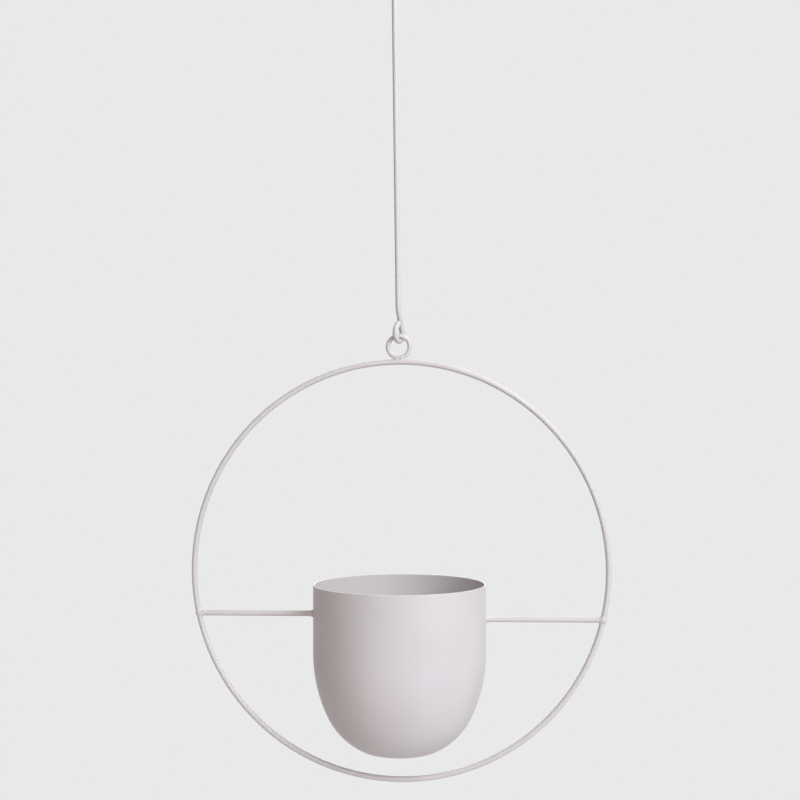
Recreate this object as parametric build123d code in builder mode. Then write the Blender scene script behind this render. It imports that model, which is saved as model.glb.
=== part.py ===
from build123d import *
from math import asin, cos, radians, sin, sqrt
import os

# Metal hanging planter: a small bowl-bottomed pot held by two level bars inside a large upright
# hoop, which hangs by an eye on the closed loop of a bent rod with a hook at its top.
# Millimetres. The origin is the point where the top hook bears on what holds it. +Z is up,
# the hoop stands in the XZ plane and the front looks along -Y.

# Wire sizes
rod_wire = 4.0
hoop_wire = 4.0
bar_wire = 4.0
eye_wire = 3.2

# Hanging rod, from the bearing point of its hook to that of its loop
hang_length = 281.0
rod_turn = 22.0
hook_inside = 24.0
hook_neck_angle = 25.0
hook_tip_angle = 30.0
hook_neck_offset = 6.2
hook_neck_bend = 20.0
loop_inside = 7.6
loop_neck_angle = 22.0
loop_tip_angle = 45.0
loop_neck_offset = 0.8
loop_neck_bend = 12.0
loop_tip_gap = 0.25
wire_end_round = 0.8

# Hoop and the eye welded on its top
hoop_outside = 300.0
eye_outside = 18.8
eye_sink = 0.5
link_gap = 0.25

# Pot
pot_diameter = 122.7
pot_height = 115.5
pot_straight = 48.0
pot_base = 55.0
pot_wall = 1.0
pot_rim_drop = 10.6
pot_shoulder_turn = 26.0
pot_base_meet = 25.0
pot_foot_round = 3.0
pot_rim_round = 0.3

# Level bars, each given by its drop below the hoop's centre
left_bar_drop = 31.8
right_bar_drop = 35.05

# Weld beads, and the hair gap kept between welded pieces
weld_fit = 0.06
weld_toe = 0.15
eye_weld_reach = 4.2
eye_weld_radius = 1.9
left_hoop_weld_length = 5.0
left_hoop_weld_rise = 0.55
right_hoop_weld_length = 3.0
right_hoop_weld_rise = 0.9
pot_weld_length = 2.2
pot_weld_rise = 1.2

# Places worked out from the sizes above
eye_outside_r = eye_outside / 2
eye_mean_r = eye_outside_r - eye_wire / 2
eye_z = -hang_length + link_gap - (eye_outside_r - eye_wire)
hoop_top = eye_z - eye_outside_r + eye_sink
hoop_z = hoop_top - hoop_outside / 2
hoop_mean_r = (hoop_outside - hoop_wire) / 2
pot_r = pot_diameter / 2
pot_rim_z = hoop_z - pot_rim_drop
left_bar_z = hoop_z - left_bar_drop
right_bar_z = hoop_z - right_bar_drop
left_bar_start = -sqrt(hoop_mean_r**2 - left_bar_drop**2)
right_bar_start = sqrt(hoop_mean_r**2 - right_bar_drop**2)
hoop_axis = Axis((0, 0, hoop_z), (0, 1, 0))
eye_axis = Axis((0, 0, eye_z), (0, 1, 0))

# The plane in which the rod is bent: its x runs from front left to back right, its y is up
rod_across = (sin(radians(rod_turn)), cos(radians(rod_turn)), 0)
rod_normal = (cos(radians(rod_turn)), -sin(radians(rod_turn)), 0)
rod_plane = Plane(origin=(0, 0, 0), x_dir=rod_across, z_dir=rod_normal)


def on_circle(centre_z, radius, angle):
    """Point of the rod's plane on a circle whose centre lies on the line of the load."""
    return (radius * cos(radians(angle)), centre_z + radius * sin(radians(angle)))


def along(start, direction, distance):
    """Point at a distance from a start, in a direction given in degrees."""
    return (start[0] + distance * cos(radians(direction)), start[1] + distance * sin(radians(direction)))


# Outline points of the rod. The wire's tip closes the loop against the neck, short of it by a
# hair. The neck leads to the straight stretch, which leans a little, and on to the hook.
loop_r = (loop_inside + rod_wire) / 2
loop_z = -hang_length - rod_wire / 2 + loop_r
loop_tip_root = on_circle(loop_z, loop_r, 180 - loop_tip_angle)
loop_neck_root = on_circle(loop_z, loop_r, loop_neck_angle)
loop_closing = radians(loop_tip_angle + loop_neck_angle)
loop_tip_length = (
    loop_r * (1 + cos(loop_closing)) - rod_wire / 2 * (1 + cos(loop_closing)) - loop_tip_gap
) / sin(loop_closing)
loop_tip_end = along(loop_tip_root, 90 - loop_tip_angle, loop_tip_length)
loop_neck_length = (loop_neck_root[0] + loop_neck_offset) / sin(radians(loop_neck_angle))
loop_neck_corner = along(loop_neck_root, 90 + loop_neck_angle, loop_neck_length)

hook_r = (hook_inside + rod_wire) / 2
hook_z = -hook_inside / 2
hook_neck_root = on_circle(hook_z, hook_r, 180 + hook_neck_angle)
hook_neck_length = (-hook_neck_offset - hook_neck_root[0]) / sin(radians(hook_neck_angle))
hook_neck_corner = along(hook_neck_root, hook_neck_angle - 90, hook_neck_length)

# One length of wire: loop at the bottom, straight rod, open hook at the top
with BuildPart() as hanging_rod:
    with BuildLine(rod_plane) as rod_path:
        Line(loop_tip_end, loop_tip_root)
        CenterArc((0, loop_z), loop_r, 180 - loop_tip_angle, 180 + loop_tip_angle + loop_neck_angle)
        FilletPolyline(
            loop_neck_root,
            loop_neck_corner,
            hook_neck_corner,
            hook_neck_root,
            radius=[loop_neck_bend, hook_neck_bend],
        )
        CenterArc((0, hook_z), hook_r, 180 + hook_neck_angle, -180 - hook_neck_angle - hook_tip_angle)
    with BuildSketch(Plane(origin=rod_path.line @ 0, z_dir=rod_path.line % 0)):
        Circle(rod_wire / 2)
    sweep()
    fillet(hanging_rod.faces().filter_by(GeomType.PLANE).edges(), radius=wire_end_round)
hanging_rod.part.label = "hanging_rod"

# The hoop, bent from one wire and closed
with BuildPart() as hoop:
    with BuildSketch(Plane.XY.offset(hoop_z)):
        with Locations((hoop_mean_r, 0)):
            Circle(hoop_wire / 2)
    revolve(axis=hoop_axis)
hoop.part.label = "hoop"

# Room round the hoop, the eye and the pot's wall that the welded pieces are cut back to
with BuildPart() as hoop_room:
    with BuildSketch(Plane.XY.offset(hoop_z)):
        with Locations((hoop_mean_r, 0)):
            Circle(hoop_wire / 2 + weld_fit)
    revolve(axis=hoop_axis)

with BuildPart() as eye_room:
    with BuildSketch(Plane.XY.offset(eye_z)):
        with Locations((eye_mean_r, 0)):
            Circle(eye_wire / 2 + weld_fit)
    revolve(axis=eye_axis)

with BuildPart() as pot_room:
    with BuildSketch(Plane.XY.offset(pot_rim_z)):
        Circle(pot_r + weld_fit)
    extrude(amount=-pot_straight)

# The small ring that stands on the hoop's top, melted a little way into it
with BuildPart() as hoop_eye:
    with BuildSketch(Plane.XY.offset(eye_z)):
        with Locations((eye_mean_r, 0)):
            Circle(eye_wire / 2)
    revolve(axis=eye_axis)
    add(hoop_room.part, mode=Mode.SUBTRACT)
hoop_eye.part.label = "hoop_eye"

# Bead that fills the corners between the eye and the hoop
with BuildPart() as eye_weld:
    with BuildSketch(Plane.XZ):
        with BuildLine():
            ThreePointArc(
                (-eye_weld_reach, hoop_top),
                (0, hoop_top + eye_weld_radius),
                (eye_weld_reach, hoop_top),
            )
            Line((eye_weld_reach, hoop_top), (-eye_weld_reach, hoop_top))
        make_face()
    revolve(axis=Axis((0, 0, hoop_top), (1, 0, 0)))
    add(hoop_room.part, mode=Mode.SUBTRACT)
    add(eye_room.part, mode=Mode.SUBTRACT)
eye_weld.part.label = "eye_weld"

# The pot: straight wall, then two arcs that turn it in to a flat base. Their radii follow from
# the room that the pot's own sizes leave them.
shoulder = radians(pot_shoulder_turn)
base_end = radians(90 - pot_base_meet)
curve_in = (pot_diameter - pot_base) / 2
curve_down = pot_height - pot_straight
upper_x = 1 - cos(shoulder)
lower_x = cos(shoulder) - cos(base_end)
upper_z = sin(shoulder)
lower_z = sin(base_end) - sin(shoulder)
curve_scale = upper_x * lower_z - lower_x * upper_z
upper_curve = (curve_in * lower_z - curve_down * lower_x) / curve_scale
lower_curve = (upper_x * curve_down - upper_z * curve_in) / curve_scale
straight_end = (pot_r, pot_rim_z - pot_straight)
shoulder_end = (pot_r - upper_curve * upper_x, pot_rim_z - pot_straight - upper_curve * upper_z)
base_z = pot_rim_z - pot_height

with BuildPart() as pot:
    with BuildSketch(Plane.XZ):
        with BuildLine():
            Line((0, pot_rim_z), (pot_r, pot_rim_z))
            Line((pot_r, pot_rim_z), straight_end)
            JernArc(straight_end, (0, -1), upper_curve, -pot_shoulder_turn)
            JernArc(
                shoulder_end,
                (-sin(shoulder), -cos(shoulder)),
                lower_curve,
                pot_shoulder_turn + pot_base_meet - 90,
            )
            Line((pot_base / 2, base_z), (0, base_z))
            Line((0, base_z), (0, pot_rim_z))
        make_face()
    revolve(axis=Axis.Z)
    fillet(pot.edges().sort_by(Axis.Z)[0], radius=pot_foot_round)
    offset(amount=-pot_wall, openings=pot.faces().sort_by(Axis.Z)[-1])
    fillet(pot.edges().group_by(Axis.Z)[-1], radius=pot_rim_round)
pot.part.label = "pot"

# Two level bars between the hoop and the pot's wall, each coped to both
with BuildPart() as left_bar:
    with BuildSketch(Plane(origin=(left_bar_start, 0, left_bar_z), z_dir=(1, 0, 0))):
        Circle(bar_wire / 2)
    extrude(amount=-left_bar_start - pot_r)
    add(hoop_room.part, mode=Mode.SUBTRACT)
    add(pot_room.part, mode=Mode.SUBTRACT)
left_bar.part.label = "left_bar"

with BuildPart() as right_bar:
    with BuildSketch(Plane(origin=(right_bar_start, 0, right_bar_z), z_dir=(-1, 0, 0))):
        Circle(bar_wire / 2)
    extrude(amount=right_bar_start - pot_r)
    add(hoop_room.part, mode=Mode.SUBTRACT)
    add(pot_room.part, mode=Mode.SUBTRACT)
right_bar.part.label = "right_bar"

bead_inside = bar_wire / 2 + weld_fit


def hoop_bead(length, rise):
    """Section of a sleeve of weld metal round a bar's end, measured from the hoop wire's middle."""
    end = hoop_wire / 2 + length
    with BuildSketch() as section:
        with BuildLine():
            ThreePointArc(
                (0, bead_inside + weld_toe),
                (end / 2, bead_inside + rise),
                (end, bead_inside + weld_toe),
            )
            Polyline(
                (end, bead_inside + weld_toe),
                (end, bead_inside),
                (0, bead_inside),
                (0, bead_inside + weld_toe),
            )
        make_face()
    return section.sketch


def pot_bead(length, rise):
    """Section of a hollow-cheeked fillet round a bar's end, measured from the pot's wall."""
    with BuildSketch() as section:
        with BuildLine():
            Polyline(
                (length, bead_inside + weld_toe),
                (length, bead_inside),
                (-pot_wall, bead_inside),
                (-pot_wall, bead_inside + rise),
                (0, bead_inside + rise),
            )
            RadiusArc((0, bead_inside + rise), (length, bead_inside + weld_toe), length)
        make_face()
    return section.sketch


# Weld beads at the hoop ends of the bars
with BuildPart() as left_hoop_weld:
    with BuildSketch(Plane(origin=(left_bar_start, 0, left_bar_z), x_dir=(1, 0, 0), z_dir=(0, -1, 0))):
        add(hoop_bead(left_hoop_weld_length, left_hoop_weld_rise))
    revolve(axis=Axis((0, 0, left_bar_z), (1, 0, 0)))
    add(hoop_room.part, mode=Mode.SUBTRACT)
left_hoop_weld.part.label = "left_hoop_weld"

with BuildPart() as right_hoop_weld:
    with BuildSketch(Plane(origin=(right_bar_start, 0, right_bar_z), x_dir=(-1, 0, 0), z_dir=(0, 1, 0))):
        add(hoop_bead(right_hoop_weld_length, right_hoop_weld_rise))
    revolve(axis=Axis((0, 0, right_bar_z), (1, 0, 0)))
    add(hoop_room.part, mode=Mode.SUBTRACT)
right_hoop_weld.part.label = "right_hoop_weld"

# Weld beads at the pot's wall
with BuildPart() as left_pot_weld:
    with BuildSketch(Plane(origin=(-pot_r, 0, left_bar_z), x_dir=(-1, 0, 0), z_dir=(0, 1, 0))):
        add(pot_bead(pot_weld_length, pot_weld_rise))
    revolve(axis=Axis((0, 0, left_bar_z), (1, 0, 0)))
    add(pot_room.part, mode=Mode.SUBTRACT)
left_pot_weld.part.label = "left_pot_weld"

with BuildPart() as right_pot_weld:
    with BuildSketch(Plane(origin=(pot_r, 0, right_bar_z), x_dir=(1, 0, 0), z_dir=(0, -1, 0))):
        add(pot_bead(pot_weld_length, pot_weld_rise))
    revolve(axis=Axis((0, 0, right_bar_z), (1, 0, 0)))
    add(pot_room.part, mode=Mode.SUBTRACT)
right_pot_weld.part.label = "right_pot_weld"

os.makedirs("parts", exist_ok=True)
export_step(hanging_rod.part, "parts/hanging_rod.step")
export_step(hoop.part, "parts/hoop.step")
export_step(hoop_eye.part, "parts/hoop_eye.step")
export_step(eye_weld.part, "parts/eye_weld.step")
export_step(pot.part, "parts/pot.step")
export_step(left_bar.part, "parts/left_bar.step")
export_step(right_bar.part, "parts/right_bar.step")
export_step(left_hoop_weld.part, "parts/left_hoop_weld.step")
export_step(right_hoop_weld.part, "parts/right_hoop_weld.step")
export_step(left_pot_weld.part, "parts/left_pot_weld.step")
export_step(right_pot_weld.part, "parts/right_pot_weld.step")
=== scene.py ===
from math import cos, radians, sin

import bmesh
import bpy
import numpy as np
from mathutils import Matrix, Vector, noise


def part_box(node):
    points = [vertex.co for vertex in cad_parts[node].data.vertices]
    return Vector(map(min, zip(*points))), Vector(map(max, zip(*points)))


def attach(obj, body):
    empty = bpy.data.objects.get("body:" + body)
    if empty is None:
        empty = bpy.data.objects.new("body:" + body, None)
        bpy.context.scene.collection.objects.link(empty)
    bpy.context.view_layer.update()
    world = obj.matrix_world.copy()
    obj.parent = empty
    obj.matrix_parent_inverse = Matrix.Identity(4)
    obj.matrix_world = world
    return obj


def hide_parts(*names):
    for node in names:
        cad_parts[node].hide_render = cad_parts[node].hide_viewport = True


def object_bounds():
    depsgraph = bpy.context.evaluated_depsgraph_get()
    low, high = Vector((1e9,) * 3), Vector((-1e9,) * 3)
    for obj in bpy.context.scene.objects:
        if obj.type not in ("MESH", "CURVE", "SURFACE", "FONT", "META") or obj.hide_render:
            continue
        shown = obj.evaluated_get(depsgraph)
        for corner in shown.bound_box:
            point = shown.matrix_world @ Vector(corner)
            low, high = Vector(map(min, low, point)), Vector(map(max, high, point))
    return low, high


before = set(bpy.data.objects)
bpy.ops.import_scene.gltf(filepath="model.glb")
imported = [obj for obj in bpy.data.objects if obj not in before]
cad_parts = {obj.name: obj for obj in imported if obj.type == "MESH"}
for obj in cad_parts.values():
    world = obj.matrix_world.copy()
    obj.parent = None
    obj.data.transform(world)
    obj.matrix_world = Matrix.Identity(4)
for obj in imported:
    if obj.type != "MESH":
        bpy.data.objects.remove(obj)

bpy.context.view_layer.update()
cad_low, cad_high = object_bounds()

MM = 0.001
scene = bpy.context.scene
scene.view_settings.view_transform = "Standard"


# Places and wire sizes, read from the frame
hoop_low, hoop_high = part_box("hoop")
hoop_centre = (hoop_low + hoop_high) / 2
hoop_wire_r = (hoop_high.y - hoop_low.y) / 2
hoop_ring = (hoop_high.x - hoop_low.x) / 2 - hoop_wire_r
eye_low, eye_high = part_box("hoop_eye")
eye_wire_r = (eye_high.y - eye_low.y) / 2
eye_ring = (eye_high.x - eye_low.x) / 2 - eye_wire_r
eye_centre_z = eye_high.z - eye_wire_r - eye_ring
pot_low, pot_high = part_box("pot")
pot_r = (pot_high.x - pot_low.x) / 2
left_bar_low, left_bar_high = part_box("left_bar")
right_bar_low, right_bar_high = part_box("right_bar")
bar_r = (left_bar_high.y - left_bar_low.y) / 2
left_bar_z = (left_bar_low.z + left_bar_high.z) / 2
right_bar_z = (right_bar_low.z + right_bar_high.z) / 2


# Camera: its place is measured from the middle of the hoop, its angles are in degrees
camera_lens = 50.79
camera_film = 36.0
camera_near = 0.01
camera_away = Vector((0.05002, -0.80763, 0.08898))
camera_angles = (92.240, 0.132, 3.501)

camera_data = bpy.data.cameras.new("camera")
camera_data.lens = camera_lens
camera_data.sensor_width = camera_film
camera_data.clip_start = camera_near
camera = bpy.data.objects.new("camera", camera_data)
camera.location = hoop_centre + camera_away
camera.rotation_euler = [radians(angle) for angle in camera_angles]
scene.collection.objects.link(camera)
scene.camera = camera


def srgb(red, green, blue):
    """Linear colour with alpha, from an 8-bit display colour."""
    linear = []
    for value in (red, green, blue):
        share = value / 255
        linear.append(share / 12.92 if share <= 0.04045 else ((share + 0.055) / 1.055) ** 2.4)
    return (*linear, 1.0)


def noise_node(nodes, links, coordinates, scale, detail, roughness):
    """A noise texture on the object's own coordinates, in cells per metre."""
    texture = nodes.new("ShaderNodeTexNoise")
    texture.inputs["Scale"].default_value = scale
    texture.inputs["Detail"].default_value = detail
    texture.inputs["Roughness"].default_value = roughness
    links.new(coordinates, texture.inputs["Vector"])
    return texture.outputs["Fac"]


def spread(nodes, links, value, low, high, new_low, new_high):
    """Maps a value's range from low to high onto a range of its own."""
    mapped = nodes.new("ShaderNodeMapRange")
    mapped.inputs["From Min"].default_value = low
    mapped.inputs["From Max"].default_value = high
    mapped.inputs["To Min"].default_value = new_low
    mapped.inputs["To Max"].default_value = new_high
    links.new(value, mapped.inputs["Value"])
    return mapped.outputs["Result"]


def mix_colours(nodes, links, share, first, second):
    """Mixes two colours, each a colour or a socket, by a share from a socket."""
    mixer = nodes.new("ShaderNodeMix")
    mixer.data_type = "RGBA"
    links.new(share, mixer.inputs["Factor"])
    for socket, colour in ((mixer.inputs["A"], first), (mixer.inputs["B"], second)):
        if isinstance(colour, bpy.types.NodeSocket):
            links.new(colour, socket)
        else:
            socket.default_value = colour
    return mixer.outputs["Result"]


# Powder coat. Scales are in noise cells per metre, and most noise lies in the noise range.
noise_low = 0.3
noise_high = 0.7
coat_pale = srgb(206, 198, 202)
coat_deep = srgb(202, 194, 198)
speck_scale = 2600.0
speck_low = 0.66
speck_high = 0.76
speck_strength = 0.22
speck_shade = 0.72
gloss_scale = 45.0
smoothest = 0.37
roughest = 0.47


def powder_coat(name, cloud_scale, peel_scale, peel_depth):
    """Satin powder coat: faint clouds of tint, fine specks, uneven gloss and orange peel."""
    material = bpy.data.materials.new(name)
    material.use_nodes = True
    nodes, links = material.node_tree.nodes, material.node_tree.links
    nodes.clear()
    output = nodes.new("ShaderNodeOutputMaterial")
    shader = nodes.new("ShaderNodeBsdfPrincipled")
    links.new(shader.outputs["BSDF"], output.inputs["Surface"])
    place = nodes.new("ShaderNodeTexCoord").outputs["Object"]

    clouds = noise_node(nodes, links, place, cloud_scale, detail=3.0, roughness=0.55)
    cloud_share = spread(nodes, links, clouds, noise_low, noise_high, 0.0, 1.0)
    tint = mix_colours(nodes, links, cloud_share, coat_deep, coat_pale)
    specks = noise_node(nodes, links, place, speck_scale, detail=1.0, roughness=0.5)
    speck_share = spread(nodes, links, specks, speck_low, speck_high, 0.0, speck_strength)
    speck_colour = tuple(speck_shade * part for part in coat_deep[:3]) + (1.0,)
    speckled = mix_colours(nodes, links, speck_share, tint, speck_colour)
    links.new(speckled, shader.inputs["Base Color"])

    gloss = noise_node(nodes, links, place, gloss_scale, detail=4.0, roughness=0.6)
    dullness = spread(nodes, links, gloss, noise_low, noise_high, smoothest, roughest)
    links.new(dullness, shader.inputs["Roughness"])

    peel = noise_node(nodes, links, place, peel_scale, detail=2.0, roughness=0.45)
    bump = nodes.new("ShaderNodeBump")
    bump.inputs["Strength"].default_value = 1.0
    bump.inputs["Distance"].default_value = peel_depth
    links.new(peel, bump.inputs["Height"])
    links.new(bump.outputs["Normal"], shader.inputs["Normal"])
    return material


# One finish on every piece, with wider clouds and deeper peel on the broad pot
pot_coat = powder_coat("pot_finish", cloud_scale=26.0, peel_scale=620.0, peel_depth=0.01 * MM)
wire_coat = powder_coat("wire_finish", cloud_scale=60.0, peel_scale=700.0, peel_depth=0.003 * MM)

for node_name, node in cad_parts.items():
    node.data.materials.clear()
    node.data.materials.append(pot_coat if node_name == "pot" else wire_coat)


# Distances from points to the metal that the welds join, less than nothing inside it
def ring_distance(points, centre_z, ring, wire):
    """Distance to a wire ring that stands in the XZ plane."""
    across = np.hypot(points[:, 0], points[:, 2] - centre_z) - ring
    return np.hypot(across, points[:, 1]) - wire


def bar_distance(points, start_x, side, z, wire):
    """Distance to a level bar that starts at start_x and runs to the given side."""
    short = np.maximum(side * (start_x - points[:, 0]), 0.0)
    return np.sqrt(short**2 + points[:, 1] ** 2 + (points[:, 2] - z) ** 2) - wire


def wall_distance(points, outer, depth):
    """Distance to the outer part of the pot's upright wall."""
    radius = np.hypot(points[:, 0], points[:, 1])
    return np.maximum(radius - outer, outer - depth - radius)


def melted(first, second, blend):
    """Smooth union of two distances."""
    share = np.clip(0.5 + 0.5 * (second - first) / blend, 0.0, 1.0)
    return second + (first - second) * share - blend * share * (1.0 - share)


# Weld beads. Each is the skin of two pieces melted together, found along rays from the joint.
bead_sink = 0.12 * MM
bead_detail = 5
ray_steps = 90
ray_halvings = 24
ripples = ((900.0, 0.16), (2100.0, 0.06))
ripple_shift = (7.3, 3.1, 5.7)


def leaving(skin, joint, rays, reach):
    """How far each ray runs from the joint before it leaves the skin."""
    inside = np.zeros(len(rays))
    outside = np.full(len(rays), reach)
    open_ray = np.ones(len(rays), bool)
    for step in np.linspace(0.0, reach, ray_steps)[1:]:
        value, _ = skin(joint + rays * step)
        crossed = open_ray & (value > 0.0)
        outside[crossed] = step
        open_ray &= ~crossed
        inside[open_ray] = step
    for _ in range(ray_halvings):
        middle = (inside + outside) / 2
        value, _ = skin(joint + rays * middle[:, None])
        inside = np.where(value <= 0.0, middle, inside)
        outside = np.where(value > 0.0, middle, outside)
    return (inside + outside) / 2


def weld_bead(name, node, joint, metals, blend, near, far, lumps, seed):
    """A weld's skin round a joint. It dips under both pieces between near and far from it.

    Its sizes are in millimetres. lumps holds (place from the joint, spread, height) of the
    drops of metal on it, and seed shifts its ripples.
    """
    joint = np.array(joint, float)
    first, second = metals
    blend, near, far = blend * MM, near * MM, far * MM

    def skin(points):
        out = np.linalg.norm(points - joint, axis=1)
        fade = np.clip((out - near) / (far - near), 0.0, 1.0)
        held = 1.0 - fade * fade * (3.0 - 2.0 * fade)
        grown = -bead_sink * (1.0 - held)
        for place, width, height in lumps:
            away = np.linalg.norm(points - joint - np.array(place) * MM, axis=1)
            grown = grown + height * MM * held * np.exp(-((away / (width * MM)) ** 2))
        return melted(first(points), second(points), blend) - grown, held

    mesh = bmesh.new()
    bmesh.ops.create_icosphere(mesh, subdivisions=bead_detail, radius=1.0)
    rays = np.array([corner.co.normalized() for corner in mesh.verts], float)
    points = joint + rays * leaving(skin, joint, rays, far)[:, None]
    _, held = skin(points)

    offset = Vector([seed * part for part in ripple_shift])
    for corner, point, ray, share in zip(mesh.verts, points, rays, held):
        ripple = 0.0
        for scale, height in ripples:
            ripple += noise.noise(Vector(point) * scale + offset) * height
        corner.co = Vector(point) + Vector(ray) * (ripple * share * MM)
    for face in mesh.faces:
        face.smooth = True
    data = bpy.data.meshes.new(name)
    mesh.to_mesh(data)
    mesh.free()
    data.materials.append(wire_coat)
    piece = bpy.data.objects.new(name, data)
    scene.collection.objects.link(piece)
    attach(piece, "hoop_and_pot")
    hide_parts(node)


wall_depth = 0.7 * MM
wall_joint_out = 0.3 * MM
eye_joint_rise = 0.6 * eye_wire_r
left_hoop_x = -(hoop_ring**2 - (left_bar_z - hoop_centre.z) ** 2) ** 0.5
right_hoop_x = (hoop_ring**2 - (right_bar_z - hoop_centre.z) ** 2) ** 0.5


def hoop_metal(points):
    return ring_distance(points, hoop_centre.z, hoop_ring, hoop_wire_r)


def eye_metal(points):
    return ring_distance(points, eye_centre_z, eye_ring, eye_wire_r)


def pot_metal(points):
    return wall_distance(points, pot_r, wall_depth)


def bar_metal(start_x, side, z):
    return lambda points: bar_distance(points, start_x, side, z, bar_r)


weld_bead(
    "left_hoop_weld_bead",
    "left_hoop_weld",
    joint=(left_hoop_x, 0, left_bar_z),
    metals=(hoop_metal, bar_metal(left_hoop_x, 1, left_bar_z)),
    blend=1.5,
    near=4.6,
    far=6.6,
    lumps=[
        ((3.9, -1.2, 1.2), 1.7, 0.45),
        ((2.2, -1.6, -1.0), 1.6, 0.3),
        ((3.2, 1.4, -0.6), 1.8, 0.35),
    ],
    seed=1,
)
weld_bead(
    "right_hoop_weld_bead",
    "right_hoop_weld",
    joint=(right_hoop_x, 0, right_bar_z),
    metals=(hoop_metal, bar_metal(right_hoop_x, -1, right_bar_z)),
    blend=1.2,
    near=2.8,
    far=5.0,
    lumps=[
        ((0.4, -1.9, -0.5), 2.1, 0.55),
        ((-1.2, -1.2, 1.4), 1.5, 0.3),
        ((-1.4, 1.6, -1.0), 1.8, 0.4),
    ],
    seed=2,
)
weld_bead(
    "left_pot_weld_bead",
    "left_pot_weld",
    joint=(-pot_r - wall_joint_out, 0, left_bar_z),
    metals=(pot_metal, bar_metal(-pot_r, -1, left_bar_z)),
    blend=1.9,
    near=3.2,
    far=5.0,
    lumps=[((-0.6, -1.0, -2.0), 1.5, 0.35), ((-0.5, 0.8, 2.0), 1.6, 0.3)],
    seed=3,
)
weld_bead(
    "right_pot_weld_bead",
    "right_pot_weld",
    joint=(pot_r + wall_joint_out, 0, right_bar_z),
    metals=(pot_metal, bar_metal(pot_r, 1, right_bar_z)),
    blend=2.1,
    near=3.2,
    far=5.0,
    lumps=[((0.5, -1.3, 1.8), 1.6, 0.4), ((0.6, 0.9, -1.9), 1.5, 0.25)],
    seed=4,
)
weld_bead(
    "eye_weld_bead",
    "eye_weld",
    joint=(0, 0, eye_low.z + eye_joint_rise),
    metals=(hoop_metal, eye_metal),
    blend=1.0,
    near=3.0,
    far=5.2,
    lumps=[((2.1, -0.9, -0.2), 1.3, 0.75), ((-1.2, 1.1, -0.3), 1.3, 0.4)],
    seed=5,
)


# Floor: a pale round sheet well below the planter, with a soft edge
floor_drop = 1.3
floor_reach = 2.6
floor_sides = 96
floor_pale = srgb(232, 232, 233)
floor_deep = srgb(227, 227, 228)
fade_start = 0.5 * floor_reach
fade_end = 0.98 * floor_reach


def floor_finish():
    """Pale matt floor that fades out towards its edge."""
    material = bpy.data.materials.new("floor_finish")
    material.use_nodes = True
    nodes, links = material.node_tree.nodes, material.node_tree.links
    shader = nodes["Principled BSDF"]
    shader.inputs["Roughness"].default_value = 0.8
    place = nodes.new("ShaderNodeTexCoord").outputs["Object"]
    grain = noise_node(nodes, links, place, scale=3.0, detail=4.0, roughness=0.5)
    links.new(mix_colours(nodes, links, grain, floor_deep, floor_pale), shader.inputs["Base Color"])
    length = nodes.new("ShaderNodeVectorMath")
    length.operation = "LENGTH"
    links.new(place, length.inputs[0])
    edge = spread(nodes, links, length.outputs["Value"], fade_start, fade_end, 1.0, 0.0)
    links.new(edge, shader.inputs["Alpha"])
    return material


floor_mesh = bmesh.new()
bmesh.ops.create_circle(floor_mesh, cap_ends=True, segments=floor_sides, radius=floor_reach)
floor_data = bpy.data.meshes.new("floor")
floor_mesh.to_mesh(floor_data)
floor_mesh.free()
floor = bpy.data.objects.new("floor", floor_data)
floor.location = (0, 0, cad_low.z - floor_drop)
scene.collection.objects.link(floor)
floor_data.materials.append(floor_finish())


# World: a dim even light, seen as the pale background by the camera and in reflections
background = srgb(233, 233, 234)
even_light = (1.0, 1.0, 1.0, 1.0)
even_light_strength = 0.18


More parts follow.
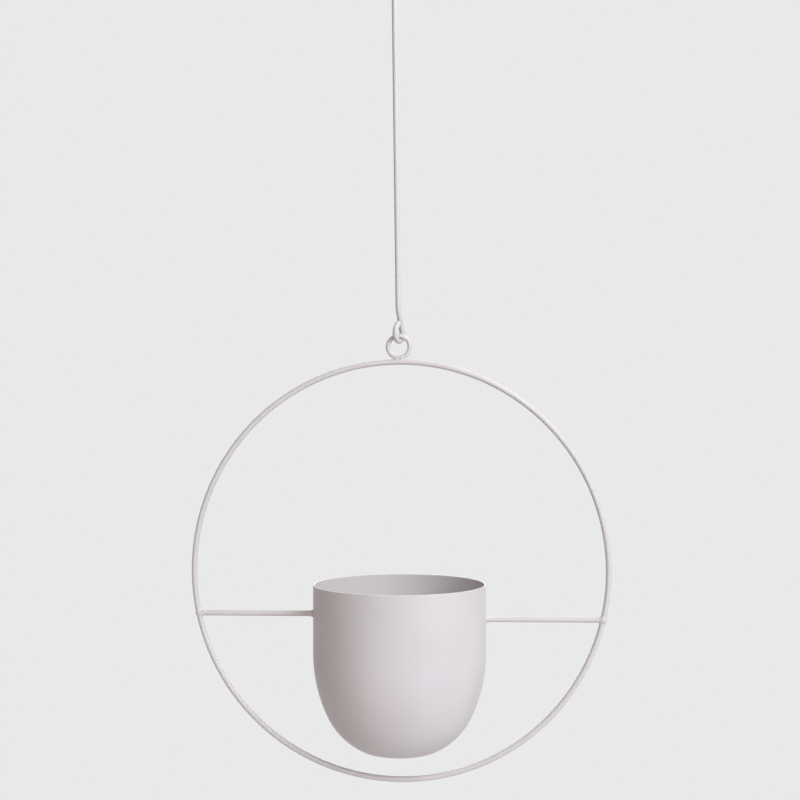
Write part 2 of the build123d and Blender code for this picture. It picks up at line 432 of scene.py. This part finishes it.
def pale_world():
    world = bpy.data.worlds.new("world")
    world.use_nodes = True
    nodes, links = world.node_tree.nodes, world.node_tree.links
    nodes.clear()
    output = nodes.new("ShaderNodeOutputWorld")
    rays = nodes.new("ShaderNodeLightPath")
    camera_or_gloss = nodes.new("ShaderNodeMath")
    camera_or_gloss.operation = "MAXIMUM"
    links.new(rays.outputs["Is Camera Ray"], camera_or_gloss.inputs[0])
    links.new(rays.outputs["Is Glossy Ray"], camera_or_gloss.inputs[1])
    seen_rays = nodes.new("ShaderNodeMath")
    seen_rays.operation = "MAXIMUM"
    links.new(camera_or_gloss.outputs[0], seen_rays.inputs[0])
    links.new(rays.outputs["Is Transmission Ray"], seen_rays.inputs[1])
    lit = nodes.new("ShaderNodeBackground")
    lit.inputs["Color"].default_value = even_light
    lit.inputs["Strength"].default_value = even_light_strength
    shown = nodes.new("ShaderNodeBackground")
    shown.inputs["Color"].default_value = background
    mixed = nodes.new("ShaderNodeMixShader")
    links.new(seen_rays.outputs[0], mixed.inputs["Fac"])
    links.new(lit.outputs[0], mixed.inputs[1])
    links.new(shown.outputs[0], mixed.inputs[2])
    links.new(mixed.outputs[0], output.inputs["Surface"])
    scene.world = world


pale_world()


# Lamps: soft panels round the hoop, with warm light from below left and cooler light from
# the right, each as far from the hoop's middle and as large as its kind
upper_panel = {"distance": 1.8, "width": 1.0, "height": 1.2}
lower_panel = {"distance": 1.5, "width": 0.9, "height": 0.7}
top_panel = {"distance": 1.8, "width": 1.2, "height": 1.2}


def softbox(name, azimuth, elevation, watts, tint, distance, width, height):
    """An area lamp aimed at the middle of the hoop. Azimuth 0 is the front, 90 the right side."""
    lamp = bpy.data.lights.new(name, "AREA")
    lamp.shape = "RECTANGLE"
    lamp.size = width
    lamp.size_y = height
    lamp.energy = watts
    lamp.color = tint
    turn, lift = radians(azimuth), radians(elevation)
    away = Vector((sin(turn) * cos(lift), -cos(turn) * cos(lift), sin(lift)))
    placed = bpy.data.objects.new(name, lamp)
    placed.location = hoop_centre + away * distance
    placed.rotation_mode = "QUATERNION"
    placed.rotation_quaternion = away.to_track_quat("Z", "Y")
    placed.visible_camera = False
    scene.collection.objects.link(placed)


softbox("back", 180.0, 15.0, watts=9.0, tint=(1.0, 1.0, 1.0), **upper_panel)
softbox("low_front", -20.0, -30.0, watts=4.1, tint=(1.0, 0.81, 0.60), **lower_panel)
softbox("top", 0.0, 85.0, watts=3.6, tint=(1.0, 0.93, 0.67), **top_panel)
softbox("low_right", 100.0, -30.0, watts=2.1, tint=(1.0, 0.87, 0.42), **lower_panel)
softbox("front", 10.0, 28.0, watts=8.4, tint=(0.95, 1.0, 0.93), **upper_panel)
softbox("high_back", 130.0, 55.0, watts=14.0, tint=(1.0, 1.0, 0.93), **upper_panel)
softbox("low_front_right", 40.0, -30.0, watts=4.5, tint=(0.73, 0.81, 1.0), **lower_panel)
softbox("key", 45.0, 28.0, watts=25.2, tint=(0.91, 0.98, 1.0), **upper_panel)
